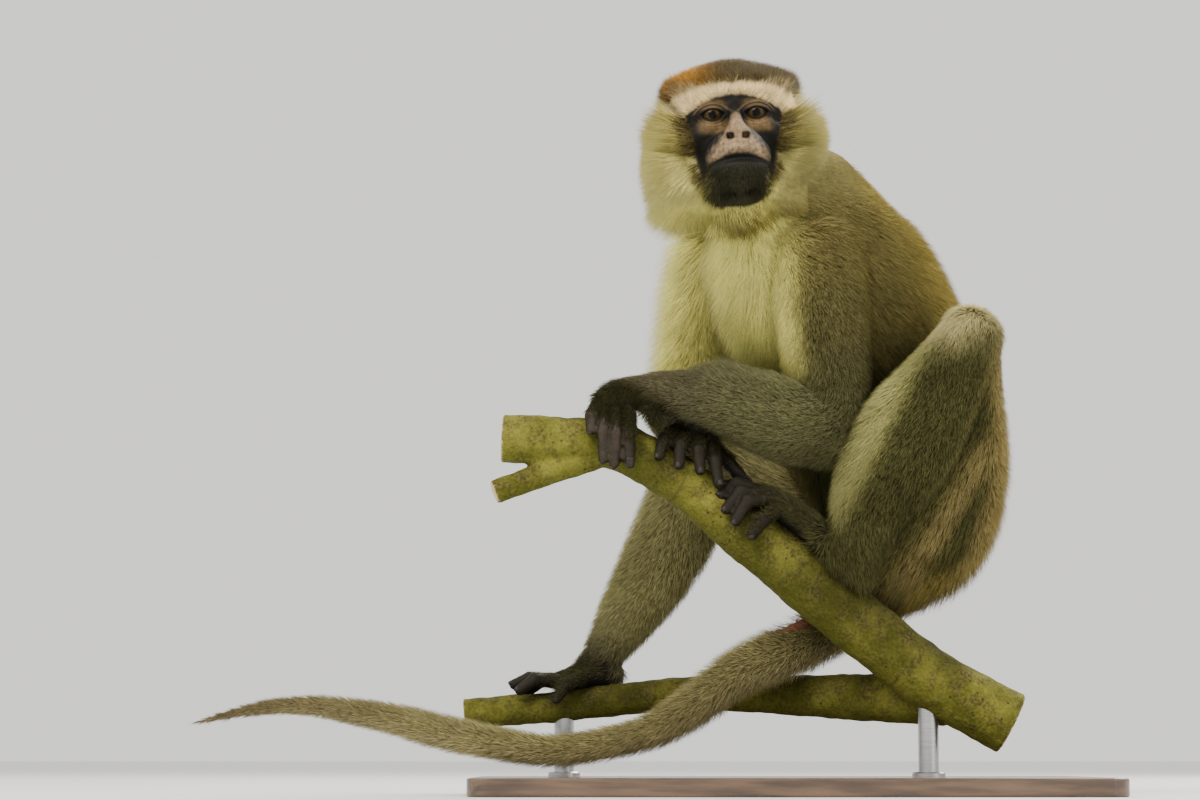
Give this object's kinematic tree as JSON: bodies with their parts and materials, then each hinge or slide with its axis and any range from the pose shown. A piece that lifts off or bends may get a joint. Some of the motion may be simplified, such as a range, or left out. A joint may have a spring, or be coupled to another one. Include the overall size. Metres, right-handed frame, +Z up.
{
  "type": "vervet monkey model",
  "caption": "Life-size still model of a male vervet monkey sitting on a forked branch, arms resting forward and tail hanging, on a plain display stand.",
  "frame": {"origin": "middle of the underside of the stand's base, on the surface it stands on", "axes": "+Z up, +X towards the animal's left, which is also towards its rump and away from the tail tip, -Y the way the face looks"},
  "size_m": [0.6169, 0.3, 0.5],
  "materials": {
    "coat": "grizzled olive-brown fur, paler below",
    "dark_skin": "dark bare skin, slightly shiny",
    "eye": "wet and glossy, brown iris",
    "bark": "rough yellow-green bark with dark specks",
    "stand_wood": "dark stained, satin",
    "stand_rod": "brushed"
  },
  "bodies": {
    "root": {"head": "coat", "neck": "coat", "chest": "coat", "belly": "coat", "rump": "coat", "thigh_left": "coat", "thigh_right": "coat", "shin_left": "coat", "shin_right": "coat", "upper_arm_left": "coat", "upper_arm_right": "coat", "forearm_left": "coat", "forearm_right": "coat", "tail_1": "coat", "tail_2": "coat", "tail_3": "coat", "tail_4": "coat", "tail_5": "coat", "tail_6": "coat", "tail_7": "coat", "ear_left": "dark_skin", "ear_right": "dark_skin", "hand_left": "dark_skin", "hand_right": "dark_skin", "foot_left": "dark_skin", "foot_right": "dark_skin", "eye_left": "eye", "eye_right": "eye", "perch_branch_1": "bark", "perch_branch_2": "bark", "perch_twig": "bark", "perch_lower_1": "bark", "perch_lower_2": "bark", "stand_base": "stand_wood", "stand_rod_1": "stand_rod", "stand_rod_2": "stand_rod"}
  },
  "joints": []
}
